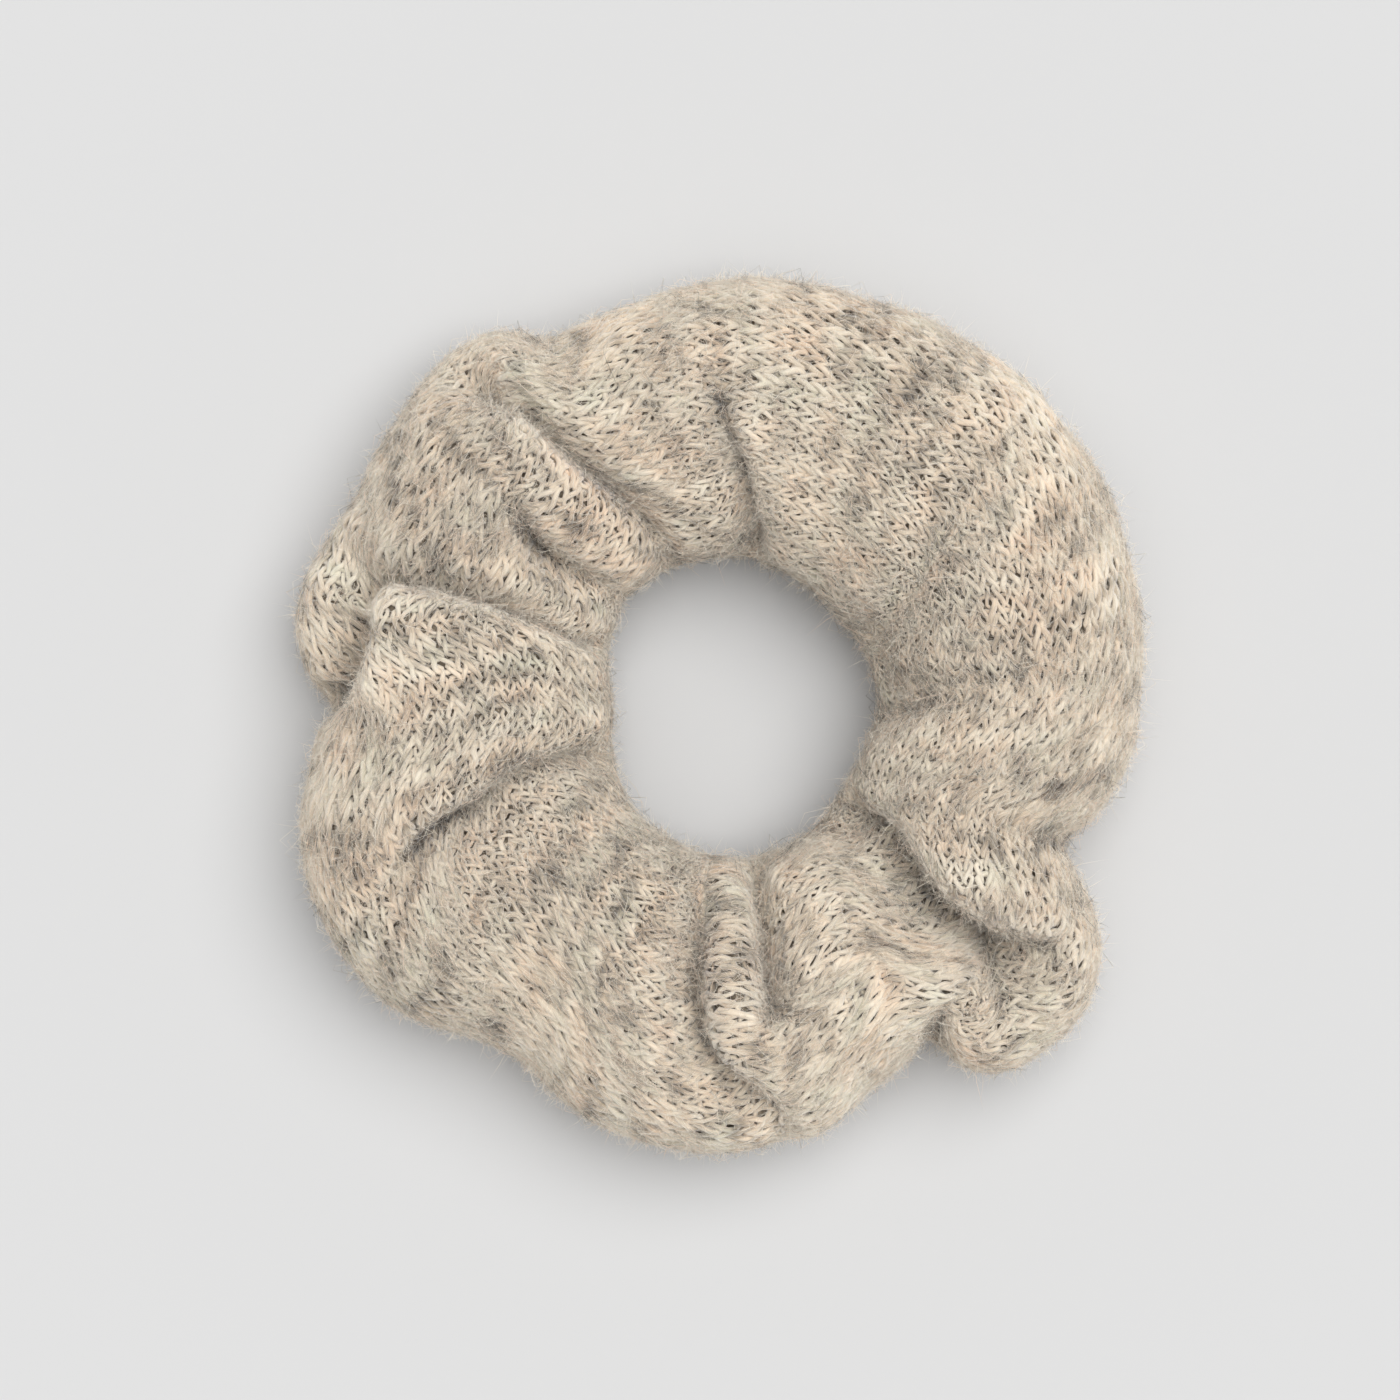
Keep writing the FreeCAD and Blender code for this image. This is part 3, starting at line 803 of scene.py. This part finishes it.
def tint_of(course, wale):
    """Where the yarn is greener (0) or more peach (1)."""
    generator = np.random.default_rng(23)
    across, along = np.mod(wale / WALES, 1), np.mod(course / COURSES, 1)
    return np.clip(0.52 + 0.35 * lattice_noise(across, along, 17, 80, generator)
                   + 0.28 * lattice_noise(across, along, 60, 2 * COURSES, generator), 0, 1)


def stitches(first, courses, generator):
    """The way of the yarn along some courses: its course, wale and lift, and how plump it is."""
    course = np.arange(first, first + courses, dtype=float)[:, None]
    stitch = (np.arange(WALES * YARN_POINTS) / YARN_POINTS)[None, :]
    course, stitch = np.broadcast_arrays(course, stitch)
    turn = 2 * math.pi * stitch
    across, round_ring = stitch / WALES, course / COURSES
    wander = lattice_noise(across, round_ring, 2 * WALES, COURSES, generator)
    drift = lattice_noise(across, round_ring, 2 * WALES, COURSES, generator)
    plump = lattice_noise(across, round_ring, 3 * WALES, COURSES, generator)
    wale = stitch + LEG_LEAN * np.sin(2 * turn) + 0.10 * drift
    along = course + 0.5 + LOOP_REACH * np.cos(turn) + 0.16 * wander
    lift = -LOOP_DEPTH * np.cos(2 * turn) + FOOT_DEPTH * np.cos(turn) + 0.16 * drift
    return course, along, wale, lift, plump


def tube_object(name, line, normal, radius):
    """Tubes round rows of points, each row closed on itself, with normal across each row."""
    tangent = unit(np.roll(line, -1, 1) - np.roll(line, 1, 1))
    side = unit(np.cross(tangent, normal))
    up = np.cross(side, tangent)
    corner = 2 * math.pi * np.arange(YARN_SIDES) / YARN_SIDES
    ring = np.cos(corner)[:, None] * side[:, :, None, :] + np.sin(corner)[:, None] * up[:, :, None, :]
    tube = line[:, :, None, :] + radius[..., None, None] * ring
    number = np.arange(radius.size * YARN_SIDES).reshape(radius.shape + (YARN_SIDES,))
    ahead = np.roll(number, -1, 1)
    quads = np.stack([number, ahead, np.roll(ahead, -1, 2), np.roll(number, -1, 2)], axis=3)
    return mesh_object(name, tube.reshape(-1, 3), quads.reshape(-1, 4))


def yarn_layout(courses):
    """Layout of the yarn of some courses: along each course's yarn, and then round it."""
    points = WALES * YARN_POINTS
    start = np.arange(points)[None, :, None] / points
    row = (np.arange(courses)[:, None, None] + np.arange(YARN_SIDES)[None, None, :] / YARN_SIDES) / courses
    start, row = np.broadcast_arrays(start, row)
    end, next_row = start + 1 / points, row + 1 / (courses * YARN_SIDES)
    return np.stack([start, row, end, row, end, next_row, start, next_row], axis=3)


def yarn_object(name, first, courses, fabric, normals, generator):
    """The yarn of some neighbouring courses: one closed, looping tube per course."""
    course, along, wale, lift, plump = stitches(first, courses, generator)
    normal = unit(at_fabric(normals, along, wale))
    line = at_fabric(fabric, along, wale) + lift[..., None] * normal
    pitch = np.linalg.norm(at_fabric(fabric, course + 1, wale) - at_fabric(fabric, course, wale), axis=2)
    full_pitch = 2.1
    radius = YARN_RADIUS * (1 + 0.32 * plump) * np.clip(pitch / full_pitch, 0.62, 1.05)
    made = tube_object(name, line, normal, radius)
    # The marl attribute holds the yarn's own marl plus painted shade in the creases.
    for label, value in (("marl", marl_and_crease_shade_of(along, wale)), ("tint", tint_of(along, wale))):
        attribute = made.data.attributes.new(label, "FLOAT", "POINT")
        attribute.data.foreach_set("value", np.repeat(value.ravel(), YARN_SIDES).astype(np.float32))
    set_layout(made, yarn_layout(courses))
    return made


def lining_object(fabric, normals):
    """The knit's inner face: one sheet that meets itself along both seams."""
    depth = 0.75
    grid = (fabric - depth * normals)[::COURSE_DETAIL // 2, ::2]
    grid = np.concatenate([grid, grid[:1]])
    grid = np.concatenate([grid, grid[:, :1]], axis=1)
    made = grid_object("knit_lining", grid)
    rows, columns = grid.shape[:2]
    down, right = np.meshgrid(np.arange(rows - 1) / (rows - 1), np.arange(columns - 1) / (columns - 1),
                              indexing="ij")
    next_down, next_right = down + 1 / (rows - 1), right + 1 / (columns - 1)
    set_layout(made, np.stack([down, right, down, next_right, next_down, next_right, next_down, right],
                              axis=2))
    return made


# ---------------------------------------------------------------- fuzz

FIBRE_COLOURS = [
    ("fibre_cream", from_screen(253, 244, 228)),
    ("fibre_peach", from_screen(254, 232, 210)),
    ("fibre_sand", from_screen(228, 217, 199)),
    ("fibre_grey", from_screen(160, 152, 140)),
    ("fibre_brown", from_screen(92, 83, 73)),
]
LEG_FIBRES = 8200       # in each sector, brushed out along the legs of the stitches
LOOSE_FIBRES = 2200     # lying any way
STANDING_FIBRES = 5600
FIBRE_RADIUS = 0.024
UPPER_WALES = (-1.5, 24.5)              # the opening's side, the top and the outside
UPPER_SHARE = 0.78                      # of the fibres, on those wales
COLOUR_STEPS = (0.26, 0.42, 0.62, 0.80)  # marl, painted crease shade included, at which one fibre colour gives way to the next
STANDING_LIGHTER = 0.26                 # standing fibres are coloured as for so much less marl: partly their paler colour, partly a painted glow at the outline
FIBRES_LOWEST = 0.1


def fibres_mesh(name, lines, kinds, generator):
    """Thin tapered fibres: lines has three points for each, and kinds its colour's number."""
    count = len(lines)
    tangent = unit(np.gradient(lines, axis=1))
    other = generator.normal(size=(count, 1, 3))
    side = unit(np.cross(tangent, other))
    up = np.cross(tangent, side)
    thick = (FIBRE_RADIUS * generator.uniform(0.7, 1.35, count))[:, None, None, None]
    corner = 2 * math.pi * np.arange(3) / 3
    ring = np.cos(corner)[:, None] * side[:, :2, None, :] + np.sin(corner)[:, None] * up[:, :2, None, :]
    body = lines[:, :2, None, :] + thick * ring
    points = np.concatenate([body.reshape(count, 6, 3), lines[:, 2:]], axis=1)
    faces = [(0, 2, 1)]
    for place in range(3):
        after = (place + 1) % 3
        faces += [(place, after, after + 3), (place, after + 3, place + 3), (place + 3, after + 3, 6)]
    faces = np.array(faces)
    all_faces = (np.arange(count) * 7)[:, None, None] + faces[None]
    made = mesh_object(name, points.reshape(-1, 3), all_faces.reshape(-1, 3))
    for material in fibre_materials:
        made.data.materials.append(material)
    made.data.polygons.foreach_set("material_index", np.repeat(kinds, len(faces)).astype(np.int32))
    return made


def fibre_roots(count, first, courses, fabric, generator):
    """Course, wale and course pitch of each fibre's root: in soft patches, and fewer underneath."""
    low, high = UPPER_WALES
    tries = 6 * count
    course = first + generator.uniform(0, courses, tries)
    upper = generator.random(tries) < UPPER_SHARE
    wale = np.where(upper, generator.uniform(low, high, tries), generator.uniform(high, WALES + low, tries))
    ahead, behind = at_fabric(fabric, course + 0.5, wale), at_fabric(fabric, course - 0.5, wale)
    pitch = np.linalg.norm(ahead - behind, axis=1)
    patches = lattice_noise(wale / WALES, course / COURSES, 12, 50, np.random.default_rng(31))
    full_pitch = 2.8
    chance = pitch / full_pitch * (0.65 + 0.55 * patches)
    kept = np.nonzero(generator.random(tries) < chance)[0][:count]
    return course[kept], wale[kept], np.maximum(pitch[kept], 0.5)


def leg_fibres(first, courses, fabric, normals, generator):
    """Fibres brushed out of the yarn along the two legs of each stitch."""
    course, wale, pitch = fibre_roots(LEG_FIBRES, first, courses, fabric, generator)
    count = len(course)
    leg = np.where(generator.random(count) < 0.5, -1, 1)
    up_leg = generator.uniform(-0.65, 0.5, count)
    course = np.floor(course) + 0.5 + up_leg
    wale = np.round(wale) + leg * (0.25 + 0.26 * up_leg) + generator.normal(0, 0.05, count)
    way = leg * 0.31 + generator.normal(0, 0.24, count)
    bend = generator.normal(0, 0.34, count)
    reach = generator.uniform(0.9, 2.8, count)
    base = generator.uniform(0.5, 0.95, count)
    rise = generator.uniform(0.0, 0.5, count)
    lines = []
    for share in (0.0, 0.5, 1.0):
        turn = way + bend * share
        ahead = course + share * reach * np.cos(turn) / pitch
        aside = wale + share * reach * np.sin(turn) / WALE_PITCH
        height = base + rise * share
        lines.append(at_fabric(fabric, ahead, aside) + height[:, None] * at_fabric(normals, ahead, aside))
    return np.stack(lines, axis=1), marl_and_crease_shade_of(course, wale)


def loose_fibres(first, courses, fabric, normals, generator):
    """Long fibres that lie any way over the stitches."""
    course, wale, pitch = fibre_roots(LOOSE_FIBRES, first, courses, fabric, generator)
    count = len(course)
    way = generator.uniform(-math.pi, math.pi, count)
    reach = generator.uniform(1.8, 5.5, count)
    ends = []
    for share, height in ((0.0, 0.8), (1.0, 1.25)):
        ahead = course + share * reach * np.cos(way) / pitch
        aside = wale + share * reach * np.sin(way) / WALE_PITCH
        ends.append(at_fabric(fabric, ahead, aside) + height * at_fabric(normals, ahead, aside))
    bow = generator.normal(0, 0.16, (count, 3)) * reach[:, None]
    middle = (ends[0] + ends[1]) / 2 + bow + 0.3 * at_fabric(normals, course, wale)
    return np.stack([ends[0], middle, ends[1]], axis=1), marl_and_crease_shade_of(course, wale)


def standing_fibres(first, courses, fabric, normals, generator):
    """Short fibres that stand up from the fabric and make its soft outline."""
    course, wale, _ = fibre_roots(STANDING_FIBRES, first, courses, fabric, generator)
    count = len(course)
    normal = at_fabric(normals, course, wale)
    root = at_fabric(fabric, course, wale) + 0.5 * normal
    way = unit(generator.normal(0, 0.55, (count, 3)) + normal)
    curl = generator.normal(0, 0.35, (count, 3))
    reach = np.minimum(0.6 + generator.exponential(0.6, count), 3.6)[:, None]
    lines = [root + reach * share * way + reach * share ** 2 * curl for share in (0.0, 0.5, 1.0)]
    # Painted highlight: standing fibres are coloured lighter, partly to give the outline a glow.
    return np.stack(lines, axis=1), marl_and_crease_shade_of(course, wale) - STANDING_LIGHTER


def fuzz_object(name, first, courses, fabric, normals, generator):
    """All the fibres of a sector, coloured roughly as the yarn they come from, painted crease shade
    included.
    """
    made = [kind(first, courses, fabric, normals, generator)
            for kind in (leg_fibres, loose_fibres, standing_fibres)]
    lines = np.concatenate([lines for lines, _ in made])
    # This marl includes the painted crease shade.
    marl = np.concatenate([marl for _, marl in made])
    lines[..., 2] = np.maximum(lines[..., 2], FIBRES_LOWEST)
    kinds = np.digitize(marl + generator.normal(-0.06, 0.24, len(marl)), COLOUR_STEPS)
    return fibres_mesh(name, lines, kinds, generator)


# ---------------------------------------------------------------- build

make_floor()
make_light()
make_camera()
centre = middle_of_opening()
base_radius, ring_points = creased_ring()
ring_points[..., 0] += centre[0]
ring_points[..., 1] += centre[1]
fabric = fabric_grid(base_radius, ring_points)
fabric_normals = unit(blurred(normals_of(fabric), rows=1.5, columns=1.0))
# How deep in a crease each point lies: the mask for the painted crease shade.
crease_depth = depth_in_crease(fabric, fabric_normals)

yarn = yarn_material()
fibre_materials = [fibre_material(name, colour) for name, colour in FIBRE_COLOURS]
generator = np.random.default_rng(7)
courses = COURSES // SECTORS
soft_pieces = []
for sector in range(SECTORS):
    place = (sector * courses, courses, fabric, fabric_normals, generator)
    piece = yarn_object(f"knit_yarn_{sector + 1}", *place)
    piece.data.materials.append(yarn)
    soft_pieces.append(piece)
    soft_pieces.append(fuzz_object(f"knit_fuzz_{sector + 1}", *place))
for piece in soft_pieces:
    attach(piece, "root")

lining = lining_object(fabric, fabric_normals)
lining.data.materials.append(lining_material())
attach(lining, "root")
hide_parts("knit_cover")

give_material("elastic_band", elastic_material(centre))
thread = thread_material()
for node in ("elastic_join_stitches", "cover_seam_thread", "closing_seam_thread"):
    give_material(node, thread)
